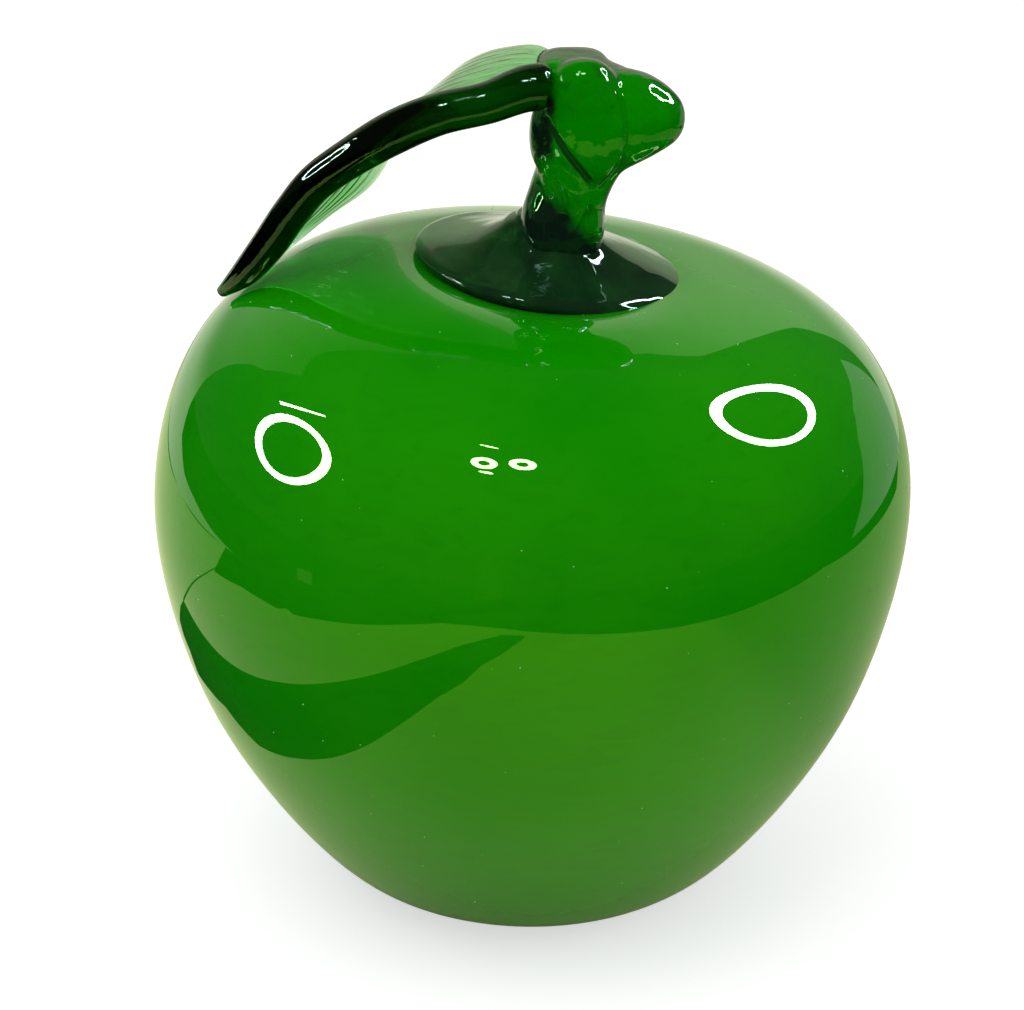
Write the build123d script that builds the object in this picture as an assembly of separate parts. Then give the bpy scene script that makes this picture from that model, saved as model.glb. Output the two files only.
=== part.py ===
from build123d import *
import os
from math import cos, hypot, radians, sin

# Hand-blown cased glass apple, in millimetres. +Z is up and the origin is the centre of the ground base.
# The side with the stalk's knob to the right faces -Y. The body leans a little: its right shoulder is low.

# Body
body_width = 113.0         # diameter of the widest ring
widest_height = 62.0       # height of the widest ring above the base
crest_height = 97.2        # height of the shoulder's crest before it leans
crest_width = 41.0         # diameter of the crest ring
base_width = 42.0          # ground flat that the apple stands on
dimple_depth = 5.4         # from the crest down to the edge of the pipe hole
pipe_hole = 10.0           # hole left by the blowpipe, through both skins
casing_wall = 2.6          # transparent green outer skin
lining_wall = 1.6          # opaque opal inner skin
top_shift = 1.6            # the dimple stands this far to the right of the base
top_lean = 9.0             # degrees, tilt of the dimple, right side low
pontil_width = 18.0        # polished hollow in the base
pontil_depth = 0.9

# The body's outline, each row a share of the radial step and a share of the height step of its stretch
lower_shares = [(0.172, 0.031), (0.437, 0.165), (0.652, 0.339), (0.822, 0.526), (0.938, 0.729)]
shoulder_shares = [(0.021, 0.227), (0.191, 0.642), (0.547, 0.903), (0.764, 0.965)]
dimple_shares = [(0.355, 0.16), (0.68, 0.55)]
ring_count = 24            # sections that carry each skin
lean_power = 1.3           # how fast the lean grows from the widest ring to the dimple

# Pad
pad_width = 39.0           # diameter of the saucer
pad_rise = 1.9             # the rim's top above the crest
pad_rim = 2.6              # thickness of the rounded rim
pad_climb = 1.6            # how far the saucer's upper face climbs from the rim to the boss
boss_height = 5.9          # top of the pad's boss above the crest, where the stem starts
boss_width = 14.4          # diameter of that boss
boss_offset = 1.6          # the boss stands this far to the right of the pad's centre
boss_flare = 4.2           # how far the boss spreads at its foot
plug_overrun = 1.4         # the plug's end stands this far below the lining

# Stem
stem_rise = 17.9           # from the boss up to the knob's centre
stem_reach = 17.1          # from the boss's centre across to the knob's end
neck_width = 12.2          # diameter of the column at its neck
knob_width = 14.0          # diameter of the column's turned end
knob_round = 5.6           # length of the knob's rounded end
stem_rings = 10            # sections that carry the stem up to its rounded end
round_rings = 5            # sections that carry the rounded end
round_turn = 82.0          # degrees, how far round the end those sections reach
# The stem's axis: share of the reach, share of the rise
stem_path_shares = [
    (0.03, 0.26), (0.09, 0.50), (0.18, 0.73), (0.35, 0.91), (0.56, 0.98), (0.78, 0.99), (1.0, 0.97),
]
# Its width at even steps from the foot to the rounded end: 0 is the neck's and 1 the knob's
stem_swell_shares = [0.9, 0.1, 0.0, 0.30, 0.80, 1.0, 0.80, 0.20, -0.90]

# Leaf
leaf_reach = 53.1          # from the root across to the tip
leaf_drop = 33.8           # from the root down to the tip
leaf_depth = 33.5          # from the rod's nearest point back to the blade's far edge
leaf_rise = 23.1           # the root above the pad's boss
root_front = 4.6           # the root's centre stands this far in front of the stem's axis
root_shift = 2.2           # and this far to the right of the boss's centre
rod_width = 6.8            # thickness of the leaf's round near edge
blade_wall = 2.0           # thickness of the blade
blade_camber = 0.7         # how far the blade bulges up between the rod and the far edge
lobe_width = 12.0          # the root lobe pressed on the stem's front
lobe_height = 18.8
lobe_depth = 8.0
lobe_drop = 4.7            # the lobe's centre below the root
lobe_shift = 0.3           # and to the right of it
saddle_length = 18.0       # the root's back, which lies along the stem's top
saddle_width = 11.0
saddle_height = 7.4
saddle_drop = 0.2          # the saddle's centre below the root
saddle_shift = 3.6         # to the right of it
saddle_back = 4.0          # and behind it
saddle_pitch = 17.0        # degrees, its right end low
leaf_rings = 20            # sections that carry the leaf
# At even steps from the root to the tip, shares of the reach across, of the depth back and of the drop:
# first the rod's axis, then the blade's far edge
rod_axis_shares = [
    (0.0, 0.0, 0.0), (0.130, -0.015, -0.030), (0.256, -0.042, 0.030), (0.384, -0.063, 0.071),
    (0.505, -0.078, 0.148), (0.618, -0.075, 0.257), (0.718, -0.039, 0.385), (0.791, 0.021, 0.544),
    (0.855, 0.093, 0.710), (0.925, 0.173, 0.867), (1.0, 0.275, 1.0),
]
far_edge_shares = [
    (0.030, 0.270, -0.072), (0.115, 0.436, -0.046), (0.220, 0.645, 0.028), (0.314, 0.773, 0.135),
    (0.397, 0.848, 0.250), (0.471, 0.904, 0.395), (0.535, 0.922, 0.578), (0.616, 0.899, 0.742),
    (0.715, 0.780, 0.845), (0.828, 0.480, 0.872), (0.975, 0.330, 0.985),
]
# The rod's thickness at the same steps
rod_width_shares = [1.0, 0.98, 0.88, 0.90, 0.93, 0.86, 0.82, 0.80, 0.77, 0.62, 0.26]
# Section of the leaf, above its middle line, from the rod's near side to the blade's far edge:
# first the share of the rod's radius across and up, then the share of the free blade and of its half wall
rod_shares = [(-0.88, 0.47), (-0.42, 0.91), (0.18, 0.97), (0.78, 0.66)]
blade_shares = [(0.18, 1.1), (0.50, 1.0), (0.86, 0.85)]
nominal_width = 20.0       # width of the section that spaces the outline's points
quarters = 4               # a bulge is this many times the product of the shares before and after it

tilt = radians(top_lean)
half_width = body_width / 2
base_radius = base_width / 2
crest_radius = crest_width / 2
hole_radius = pipe_hole / 2


def graded(values, share):
    # Smooth reading, at a share of the way, between values that are evenly spaced
    place = share * (len(values) - 1)
    i = min(int(place), len(values) - 2)
    t = place - i
    a, b, c, d = values[max(i - 1, 0)], values[i], values[i + 1], values[min(i + 2, len(values) - 1)]
    return b + t * ((c - a) + t * ((2 * a - 5 * b + 4 * c - d) + t * (3 * b - a - 3 * c + d))) / 2


def stretch(start, end, shares):
    # Outline points between two places, each a (radius, height)
    step_r = end[0] - start[0]
    step_z = end[1] - start[1]
    return [(start[0] + step_r * a, start[1] + step_z * b) for a, b in shares]


# Outline of the body, from the edge of the ground base over the crest to the edge of the pipe hole
base_edge = (base_radius, 0)
widest = (half_width, widest_height)
crest = (crest_radius, crest_height)
hole_edge = (hole_radius, crest_height - dimple_depth)
outline_points = [base_edge, *stretch(base_edge, widest, lower_shares)]
outline_points += [widest, *stretch(widest, crest, shoulder_shares)]
outline_points += [crest, *stretch(crest, hole_edge, dimple_shares), hole_edge]
outline = Spline(*[(r, 0, z) for r, z in outline_points])
widest_share = outline.param_at_point(Vector(widest[0], 0, widest[1]))


def ring_plane(share, height):
    # Level below the widest ring, then leaning more and more towards the dimple
    grown = max(0, (share - widest_share) / (1 - widest_share)) ** lean_power
    lean = tilt * grown
    centre = (top_shift * grown, 0, height)
    return Plane(origin=centre, x_dir=(cos(lean), 0, -sin(lean)), z_dir=(sin(lean), 0, cos(lean)))


def skin(depth):
    # The closed form that lies this deep below the body's outer surface
    rings = []
    for i in range(ring_count + 1):
        share = i / ring_count
        point = outline @ share
        along = outline % share
        radius = point.X - depth * along.Z
        height = point.Z + depth * along.X
        rings.append(ring_plane(share, height) * Circle(radius))
    return loft(rings)


# Frame of the dimple: its origin is the centre of the pipe hole's outer edge
dimple = ring_plane(1, hole_edge[1])
wall = casing_wall + lining_wall
plug_length = wall + plug_overrun

outer_form = skin(0)
middle_form = skin(casing_wall)
inner_form = skin(wall)
bore = dimple * Cylinder(hole_radius, plug_length + dimple_depth)

# Casing with the pipe hole and the polished pontil hollow
pontil_radius = ((pontil_width / 2) ** 2 + pontil_depth ** 2) / (2 * pontil_depth)
pontil = Pos(0, 0, pontil_depth - pontil_radius) * Sphere(pontil_radius)
body_casing = outer_form - middle_form - bore - pontil

# Lining
body_lining = middle_form - inner_form - bore

# Pad, drawn in the dimple's frame, where the crest stands one dimple depth above the hole's edge
pad_radius = pad_width / 2
rim_radius = pad_rim / 2
boss_radius = boss_width / 2
rim_top = dimple_depth + pad_rise
saucer_floor = rim_top + pad_climb
boss_top = dimple_depth + boss_height
with BuildPart() as saucer:
    with BuildSketch(Plane.XZ):
        with BuildLine():
            under = Line((0, 0), (pad_radius - rim_radius, 0))
            side = Line(under @ 1, (pad_radius - rim_radius, rim_top - pad_rim))
            rim_middle = (pad_radius, rim_top - rim_radius)
            rim = ThreePointArc(side @ 1, rim_middle, (pad_radius - rim_radius, rim_top))
            climb = Line(rim @ 1, (boss_radius, saucer_floor))
            floor = Line(climb @ 1, (0, saucer_floor))
            axis = Line(floor @ 1, (0, 0))
        make_face()
    revolve(axis=Axis.Z)
boss_foot = saucer_floor - rim_radius
boss = loft([
    dimple * Pos(0, 0, boss_foot) * Circle(boss_radius + boss_flare),
    dimple * Pos(boss_offset / 2, 0, (boss_foot + boss_top) / 2) * Circle(boss_radius + boss_flare / 3),
    dimple * Pos(boss_offset, 0, boss_top) * Circle(boss_radius),
])
plug = Pos(0, 0, dimple_depth / 2 - plug_length / 2) * Cylinder(hole_radius, plug_length + dimple_depth)
plug = fillet(plug.edges().sort_by(Axis.Z)[0], plug_overrun)
stem_pad = dimple * saucer.part + boss - outer_form + dimple * plug

# Stem, which starts on the pad's boss and turns to the right
foot = dimple.from_local_coords((boss_offset, 0, boss_top))
stem_points = [foot] + [foot + Vector(stem_reach * a, 0, stem_rise * b) for a, b in stem_path_shares]
stem_path = Spline(*stem_points, tangents=[dimple.z_dir, (1, 0, 0)])
round_start = 1 - knob_round / stem_path.length
stem_sections = []
for i in range(stem_rings + round_rings + 1):
    turn = radians(round_turn) * max(0, i - stem_rings) / round_rings
    grown = min(1, i / stem_rings)
    share = round_start * grown + (1 - round_start) * sin(turn)
    swell = graded(stem_swell_shares, grown)
    radius = (neck_width + (knob_width - neck_width) * swell) / 2 * cos(turn) if i else boss_radius
    section_plane = Plane(origin=stem_path @ share, x_dir=(0, 1, 0), z_dir=stem_path % share)
    stem_sections.append(section_plane * Circle(radius))
stem = loft(stem_sections)

# Leaf, from its root on the stem's front to its tip on the left shoulder
root = foot + Vector(root_shift, -root_front, leaf_rise)


def leaf_point(rows, share):
    across, back, down = [graded(column, share) for column in zip(*rows)]
    return root + Vector(-leaf_reach * across, leaf_depth * back, -leaf_drop * down)


def leaf_outline(rod_share, width, side):
    # One side of a round rod with a thin blade beside it, which bulges up a little
    radius = rod_width / 2 * rod_share
    half_wall = blade_wall / 2 * rod_share
    bulge = quarters * blade_camber * min(1, width / nominal_width)
    line = [(-radius, 0)] + [(a * radius, b * radius) for a, b in rod_shares]
    line += [(radius + a * (width - radius), b * half_wall) for a, b in blade_shares]
    line.append((width, 0))
    return [(a, side * b + bulge * max(0, a) * (width - a) / width ** 2) for a, b in line]


# All sections place their points at the same parameters, so that the loft runs true from one to the next
nominal = leaf_outline(1, nominal_width, 1)
spacing = [0]
for (a, b), (c, d) in zip(nominal, nominal[1:]):
    spacing.append(spacing[-1] + hypot(c - a, d - b))
spacing_back = [spacing[-1] - place for place in reversed(spacing)]
rod_points = [leaf_point(rod_axis_shares, i / leaf_rings) for i in range(leaf_rings + 1)]


def leaf_section(i):
    centre = rod_points[i]
    before = rod_points[max(i - 1, 0)]
    after = rod_points[min(i + 1, leaf_rings)]
    share = i / leaf_rings
    rod_share = graded(rod_width_shares, share)
    out = leaf_point(far_edge_shares, share) - centre
    above = out.cross(after - before)
    frame = Plane(origin=centre, x_dir=out, z_dir=out.cross(above))
    width = max(out.length, rod_width * rod_share)
    upper = [frame.from_local_coords(p) for p in leaf_outline(rod_share, width, 1)]
    lower = [frame.from_local_coords(p) for p in reversed(leaf_outline(rod_share, width, -1))]
    edges = [Edge.make_spline(upper, parameters=spacing), Edge.make_spline(lower, parameters=spacing_back)]
    return Face(Wire(edges))


leaf_form = loft([leaf_section(i) for i in range(leaf_rings + 1)])
lobe_place = root + Vector(lobe_shift, 0, -lobe_drop)
lobe = scale(Sphere(1), by=(lobe_width / 2, lobe_depth / 2, lobe_height / 2)).moved(Location(lobe_place))
saddle_place = root + Vector(saddle_shift, saddle_back, -saddle_drop)
saddle = scale(Sphere(1), by=(saddle_length / 2, saddle_width / 2, saddle_height / 2))
saddle = saddle.moved(Location(saddle_place, (0, saddle_pitch, 0)))
leaf = leaf_form + lobe + saddle - stem - outer_form

nodes = {
    "body_casing": body_casing,
    "body_lining": body_lining,
    "stem_pad": stem_pad,
    "stem": stem,
    "leaf": leaf,
}
os.makedirs("parts", exist_ok=True)
for name, shape in nodes.items():
    export_step(shape, "parts/" + name + ".step")
    size = shape.bounding_box().size
    print(name, "volume", round(shape.volume), "size", round(size.X, 1), round(size.Y, 1), round(size.Z, 1))
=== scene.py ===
import bpy, bmesh, math
import numpy as np
from mathutils import Matrix, Vector


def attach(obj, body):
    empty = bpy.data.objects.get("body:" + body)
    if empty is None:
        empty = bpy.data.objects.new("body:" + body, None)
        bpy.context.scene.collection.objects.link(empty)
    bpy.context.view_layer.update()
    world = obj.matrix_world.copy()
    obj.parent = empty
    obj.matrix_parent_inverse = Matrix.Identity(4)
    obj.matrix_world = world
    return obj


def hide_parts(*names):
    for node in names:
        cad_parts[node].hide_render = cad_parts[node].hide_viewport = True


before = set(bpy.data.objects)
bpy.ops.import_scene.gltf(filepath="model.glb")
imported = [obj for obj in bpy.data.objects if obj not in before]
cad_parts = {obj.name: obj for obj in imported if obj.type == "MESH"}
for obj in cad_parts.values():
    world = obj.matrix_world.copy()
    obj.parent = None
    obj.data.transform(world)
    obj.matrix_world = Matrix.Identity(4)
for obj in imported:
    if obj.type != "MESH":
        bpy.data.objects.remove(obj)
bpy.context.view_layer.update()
mm = 0.001


# Helpers

def tint(hexCode):  # sRGB hex to linear
    channels = [int(hexCode[i:i + 2], 16) / 255 for i in (1, 3, 5)]
    return tuple(c / 12.92 if c <= 0.04045 else ((c + 0.055) / 1.055) ** 2.4 for c in channels) + (1.0,)


# settings go on the node; inputs, by name or in their order, get a value, or a link from a socket or a node
def addNode(tree, kind, settings=None, inputs=None):
    node = tree.nodes.new(kind)
    for name, value in (settings or {}).items():
        setattr(node, name, value)
    for key, value in inputs.items() if isinstance(inputs, dict) else enumerate(inputs or []):
        if isinstance(value, bpy.types.Node):
            value = value.outputs[0]
        if isinstance(value, bpy.types.NodeSocket):
            tree.links.new(value, node.inputs[key])
        else:
            node.inputs[key].default_value = value
    return node


def newMaterial(name):
    material = bpy.data.materials.new(name)
    material.use_nodes = True
    material.node_tree.nodes.clear()
    return material, material.node_tree


def smoothLine(points, count):  # a cubic spline through the points, read at even steps
    knots = np.array(points, float)
    marks = np.concatenate([[0], np.cumsum(np.linalg.norm(np.diff(knots[:, :3], axis=0), axis=1))])
    gaps, last = np.diff(marks), len(knots) - 1
    system = np.zeros((last + 1, last + 1))
    load = np.zeros(knots.shape)
    system[0, 0] = system[-1, -1] = 1
    for i in range(1, last):
        system[i, i - 1:i + 2] = gaps[i - 1], 2 * (gaps[i - 1] + gaps[i]), gaps[i]
        load[i] = 6 * ((knots[i + 1] - knots[i]) / gaps[i] - (knots[i] - knots[i - 1]) / gaps[i - 1])
    bends = np.linalg.solve(system, load)
    line = []
    for mark in np.linspace(0, marks[-1], count):
        i = min(max(int(np.searchsorted(marks, mark)) - 1, 0), last - 1)
        left, done, gap = marks[i + 1] - mark, mark - marks[i], gaps[i]
        line.append((bends[i] * left ** 3 + bends[i + 1] * done ** 3) / (6 * gap)
                    + (knots[i] / gap - bends[i] * gap / 6) * left
                    + (knots[i + 1] / gap - bends[i + 1] * gap / 6) * done)
    return np.array(line)


def graded(values, share):  # smooth reading between evenly spaced values
    place = share * (len(values) - 1)
    i = min(int(place), len(values) - 2)
    t = place - i
    a, b, c, d = values[max(i - 1, 0)], values[i], values[i + 1], values[min(i + 2, len(values) - 1)]
    return b + t * ((c - a) + t * ((2 * a - 5 * b + 4 * c - d) + t * (3 * b - a - 3 * c + d))) / 2


def newObject(name, mesh):
    thing = bpy.data.objects.new(name, mesh)
    bpy.context.scene.collection.objects.link(thing)
    return thing


def skinRings(rings, name):  # closed skin over rings of points in millimetres, with a point at each end
    rows, size = len(rings), len(rings[0])
    points = [tuple(p * mm) for ring in rings for p in ring]
    points += [tuple(np.mean(rings[0], 0) * mm), tuple(np.mean(rings[-1], 0) * mm)]
    faces = []
    for i in range(rows - 1):
        for j in range(size):
            k = (j + 1) % size
            faces.append((i * size + j, i * size + k, (i + 1) * size + k, (i + 1) * size + j))
    for j in range(size):
        k = (j + 1) % size
        faces.append((rows * size, k, j))
        faces.append((rows * size + 1, (rows - 1) * size + j, (rows - 1) * size + k))
    mesh = bpy.data.meshes.new(name)
    mesh.from_pydata(points, [], faces)
    return tidied(mesh)


def tidied(mesh):  # merges doubles, turns the faces outwards and shades them smooth
    work = bmesh.new()
    work.from_mesh(mesh)
    bmesh.ops.remove_doubles(work, verts=work.verts, dist=1e-6)
    bmesh.ops.recalc_face_normals(work, faces=work.faces)
    for face in work.faces:
        face.smooth = True
    work.to_mesh(mesh)
    work.free()
    return mesh


def modified(thing, *steps):  # runs modifiers on a thing and keeps the result as its mesh
    for kind, settings in steps:
        modifier = thing.modifiers.new(kind, kind)
        for name, value in settings.items():
            setattr(modifier, name, value)
    mesh = bpy.data.meshes.new_from_object(thing.evaluated_get(bpy.context.evaluated_depsgraph_get()))
    thing.modifiers.clear()
    thing.data = mesh
    return thing


def grown(thing, tree, values):  # runs a geometry tree, with its inputs by name, and returns the mesh
    modifier = thing.modifiers.new("grow", "NODES")
    modifier.node_group = tree
    sockets = {item.name: item.identifier for item in tree.interface.items_tree if item.in_out == "INPUT"}
    for name, value in values.items():
        modifier[sockets[name]] = value
    mesh = bpy.data.meshes.new_from_object(thing.evaluated_get(bpy.context.evaluated_depsgraph_get()))
    thing.modifiers.clear()
    return mesh


def newTree(name, inputs):  # a geometry tree that takes and gives a geometry, with more inputs by name
    tree = bpy.data.node_groups.new(name, "GeometryNodeTree")
    tree.interface.new_socket("Geometry", in_out="INPUT", socket_type="NodeSocketGeometry")
    tree.interface.new_socket("Geometry", in_out="OUTPUT", socket_type="NodeSocketGeometry")
    for label, kind in inputs.items():
        tree.interface.new_socket(label, in_out="INPUT", socket_type="NodeSocket" + kind)
    return tree, addNode(tree, "NodeGroupInput").outputs


def finishTree(tree, geometry, glass):  # ends a geometry tree
    real = addNode(tree, "GeometryNodeRealizeInstances", {}, {"Geometry": geometry})
    done = addNode(tree, "GeometryNodeSetMaterial", {}, {"Geometry": real, "Material": glass})
    addNode(tree, "NodeGroupOutput", {}, [done])
    return tree


def ballMesh(work, centre, sizes, turn=0.0, detail=3, square=2.0):  # square above 2 flattens the ball's sides
    spin = Matrix.Translation(Vector(centre) * mm) @ Matrix.Rotation(math.radians(turn), 4, "Y")
    ball = bmesh.ops.create_icosphere(work, subdivisions=detail, radius=1.0)["verts"]
    for vert in ball:
        swell = sum(abs(c) ** square for c in vert.co) ** (-1 / square)
        vert.co = spin @ Vector([c * swell * size * mm for c, size in zip(vert.co, sizes)])


# Materials

# Each look has its sizes in mm, its index of refraction in "bends", and in "mirrors" the tint of what it
# mirrors straight back. That is green, because part of it comes back from below the green skin.

def casedGlass():
    # Cased emerald glass: a clear green gather blown over opal.
    # The eye sees a deep even green, faintly clouded, under a wet, mirror-smooth skin.
    look = {
        "deep": "#0A7D00", "warm": "#188402", "cloudSize": 38.0, "clouds": (0.38, 0.64),
        "swirl": "#087300", "swirlSize": 7.0, "swirls": (0.5, 0.75), "swirlShare": 0.35,
        "stretch": (1.0, 1.0, 3.0), "turn": (0.3, 0.2, 0.0),
        "roughness": 0.012, "bends": 1.6, "mirrors": (0.5, 1.0, 0.12, 1.0),
    }
    material, tree = newMaterial("casedEmeraldGlass")
    place = addNode(tree, "ShaderNodeTexCoord").outputs["Object"]
    cloud = addNode(tree, "ShaderNodeTexNoise", {}, {
        "Vector": place, "Scale": 1 / (look["cloudSize"] * mm), "Detail": 2.0, "Roughness": 0.45})
    spread = addNode(tree, "ShaderNodeMapRange", {}, {
        "Value": cloud.outputs["Fac"], "From Min": look["clouds"][0], "From Max": look["clouds"][1]})
    body = addNode(tree, "ShaderNodeMix", {"data_type": "RGBA"}, {
        "Factor": spread, 6: tint(look["deep"]), 7: tint(look["warm"])})
    turned = addNode(tree, "ShaderNodeMapping", {}, {
        "Vector": place, "Scale": look["stretch"], "Rotation": look["turn"]})
    swirl = addNode(tree, "ShaderNodeTexNoise", {}, {
        "Vector": turned, "Scale": 1 / (look["swirlSize"] * mm), "Detail": 4.0, "Distortion": 1.2})
    faint = addNode(tree, "ShaderNodeMapRange", {}, {
        "Value": swirl.outputs["Fac"], "From Min": look["swirls"][0], "From Max": look["swirls"][1],
        "To Max": look["swirlShare"]})
    colour = addNode(tree, "ShaderNodeMix", {"data_type": "RGBA"}, {
        "Factor": faint, 6: body.outputs[2], 7: tint(look["swirl"])})
    shader = addNode(tree, "ShaderNodeBsdfPrincipled", {}, {
        "Base Color": colour.outputs[2], "Roughness": look["roughness"], "IOR": look["bends"],
        "Specular Tint": look["mirrors"]})
    addNode(tree, "ShaderNodeOutputMaterial", {}, {"Surface": shader})
    return material


def cloudyGlass(name, look):
    # Opaque or milky glass, blown, with faint clouds of two colours in it
    material, tree = newMaterial(name)
    place = addNode(tree, "ShaderNodeTexCoord").outputs["Object"]
    cloud = addNode(tree, "ShaderNodeTexNoise", {}, {
        "Vector": place, "Scale": 1 / (look["cloudSize"] * mm), "Detail": look["detail"]})
    colour = addNode(tree, "ShaderNodeMix", {"data_type": "RGBA"}, {
        "Factor": cloud.outputs["Fac"], 6: tint(look["dark"]), 7: tint(look["pale"])})
    shader = addNode(tree, "ShaderNodeBsdfPrincipled", {}, {
        "Base Color": colour.outputs[2], "Roughness": look["roughness"], "IOR": look["bends"]})
    addNode(tree, "ShaderNodeOutputMaterial", {}, {"Surface": shader})
    return material


def finishGlass(tree, look, place, colour):  # a fire-polished, rippled skin, and the light lost inside
    ripple = addNode(tree, "ShaderNodeTexNoise", {}, {
        "Vector": place, "Scale": 1 / (look["rippleSize"] * mm), "Detail": look["rippleDetail"]})
    bump = addNode(tree, "ShaderNodeBump", {}, {
        "Height": ripple.outputs["Fac"], "Distance": look["rippleDepth"] * mm, "Strength": 1.0})
    shader = addNode(tree, "ShaderNodeBsdfPrincipled", {}, {
        "Base Color": colour, "Roughness": look["roughness"], "IOR": look["bends"],
        "Transmission Weight": look["lets"], "Specular Tint": look["mirrors"], "Normal": bump})
    output = addNode(tree, "ShaderNodeOutputMaterial", {}, {"Surface": shader})
    if "density" in look:  # the loss per metre is density times the share of each colour that isn't kept
        inside = addNode(tree, "ShaderNodeVolumeAbsorption", {}, {
            "Color": look["keeps"], "Density": look["density"]})
        tree.links.new(inside.outputs[0], output.inputs["Volume"])


def drawnGlass():
    # Transparent green glass, drawn out hot: fire-polished, so it bends light cleanly, ripples a little and
    # darkens with its thickness. The eye sees a nearly black rod that thins to a pale green blade.
    look = {
        "density": 1900.0, "keeps": (0.05, 0.70, 0.12, 1.0), "lets": 1.0,
        "rippleSize": 5.0, "rippleDepth": 0.12, "rippleDetail": 1.5,
        "roughness": 0.0, "bends": 1.5, "mirrors": (0.5, 1.0, 0.3, 1.0),
    }
    material, tree = newMaterial("drawnGreenGlass")
    place = addNode(tree, "ShaderNodeTexCoord").outputs["Object"]
    finishGlass(tree, look, place, (1, 1, 1, 1))
    return material


def pressedGlass():
    # Bottle-green glass, of which only part of the light goes through. Its bright green gets painted shade,
    # laid by place: at the foot where it meets the pad, in a strip under the leaf's root, in a streak along a
    # crease down the front, and at edges that turn from the eye. Faint dark wisps are the glass's own tone.
    look = {
        # glow is the glass's bright green; dark is the colour of the painted shade and of the glass's own
        # faint wisps
        "glow": "#068C00", "dark": "#12251A", "lets": 0.4,
        "density": 300.0, "keeps": (0.3, 0.95, 0.1, 1.0),
        "rippleSize": 3.6, "rippleDepth": 0.2, "rippleDetail": 2.0,
        "roughness": 0.0, "bends": 1.5, "mirrors": (0.4, 1.0, 0.15, 1.0),
        # how far the borders of the painted shade wander, and how much of that the strip and the streak
        # follow
        "wanderSize": 3.5, "wander": 7.0, "stripFollows": 0.3, "streakFollows": 0.15,
        "footTilt": 0.9,  # the foot's border is where x plus this much of the height is as given
        # the streak, painted shade along a crease, runs down to the right: the ways across and along it, and
        # how far out it is across
        "streakAcross": (0.826, 0.0, 0.564), "streakAlong": (0.564, 0.0, -0.826), "streakAt": 70.72,
        # from where to where the painted shade fades, and its share before and after
        "foot": (101.0, 104.5, 1.0, 0.0),
        "stripSide": (2.6, 3.6, 1.0, 0.0), "stripLow": (114.5, 117.5, 0.0, 1.0),
        "stripHigh": (125.0, 126.5, 1.0, 0.0),
        "streak": (0.35, 0.8, 0.85, 0.0), "streakHigh": (-100.3, -99.3, 0.0, 1.0),
        "streakLow": (-89.0, -87.8, 1.0, 0.0), "front": (-3.0, -1.0, 1.0, 0.0),
        # the same for how far a face is turned away, which lays painted shade on the edges, and for the noise
        # of the glass's own dark wisps, which have no size
        "edge": (0.5, 0.74, 0.0, 0.9), "wisps": (0.6, 0.72, 0.0, 0.3),
    }
    material, tree = newMaterial("bottleGreenGlass")
    place = addNode(tree, "ShaderNodeTexCoord").outputs["Object"]
    at = addNode(tree, "ShaderNodeSeparateXYZ", {}, [place]).outputs
    noise = addNode(tree, "ShaderNodeTexNoise", {}, {
        "Vector": place, "Scale": 1 / (look["wanderSize"] * mm), "Detail": 2.0}).outputs["Fac"]
    facing = addNode(tree, "ShaderNodeLayerWeight", {}, {"Blend": 0.5}).outputs["Facing"]
    read = {"x": at["X"], "front": at["Y"], "z": at["Z"], "stripHigh": at["Z"], "edge": facing,
            "wisps": noise}
    for name in ("streakAcross", "streakAlong"):
        read[name] = addNode(tree, "ShaderNodeVectorMath", {"operation": "DOT_PRODUCT"}, [
            place, look[name]]).outputs["Value"]
    read["streakHigh"] = read["streakLow"] = read["streakAlong"]
    for name, operation, *terms in [
            ("wander", "MULTIPLY_ADD", "wisps", look["wander"] * mm, -look["wander"] / 2 * mm),
            ("foot", "MULTIPLY_ADD", "z", look["footTilt"], "x"), ("foot", "ADD", "foot", "wander"),
            ("stripSide", "MULTIPLY_ADD", "wander", look["stripFollows"], "x"),
            ("stripLow", "ADD", "z", "wander"),
            ("streak", "MULTIPLY_ADD", "wander", look["streakFollows"], "streakAcross"),
            ("streak", "ADD", "streak", -look["streakAt"] * mm), ("streak", "ABSOLUTE", "streak")]:
        read[name] = addNode(tree, "ShaderNodeMath", {"operation": operation}, [
            read.get(term, term) for term in terms])
    # how much each place is darkened: painted shade at the foot, strip, streak and edges, and the wisps' own
    # tone
    dark = {}
    for name in ("foot", "stripSide", "stripLow", "stripHigh", "streak", "streakHigh", "streakLow", "front",
                 "edge", "wisps"):
        start, end, before, after = look[name]
        size = 1.0 if name in ("edge", "wisps") else mm
        dark[name] = addNode(tree, "ShaderNodeMapRange", {"interpolation_type": "SMOOTHSTEP"}, {
            "Value": read[name], "From Min": start * size, "From Max": end * size,
            "To Min": before, "To Max": after})
    for name, operation, *terms in [
            ("strip", "MULTIPLY", "stripLow", "stripHigh"), ("strip", "MULTIPLY", "stripSide", "strip"),
            ("ends", "MULTIPLY", "streakHigh", "streakLow"), ("streak", "MULTIPLY", "streak", "ends"),
            ("streak", "MULTIPLY", "streak", "front"), ("all", "MAXIMUM", "foot", "strip"),
            ("thin", "MAXIMUM", "edge", "wisps"), ("thin", "MAXIMUM", "streak", "thin"),
            ("all", "MAXIMUM", "all", "thin")]:
        dark[name] = addNode(tree, "ShaderNodeMath", {"operation": operation}, [dark[term] for term in terms])
    # the bright green, darkened by the painted shade and by the wisps
    colour = addNode(tree, "ShaderNodeMix", {"data_type": "RGBA"}, {
        "Factor": dark["all"], 6: tint(look["glow"]), 7: tint(look["dark"])})
    finishGlass(tree, look, place, colour.outputs[2])
    return material


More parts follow.
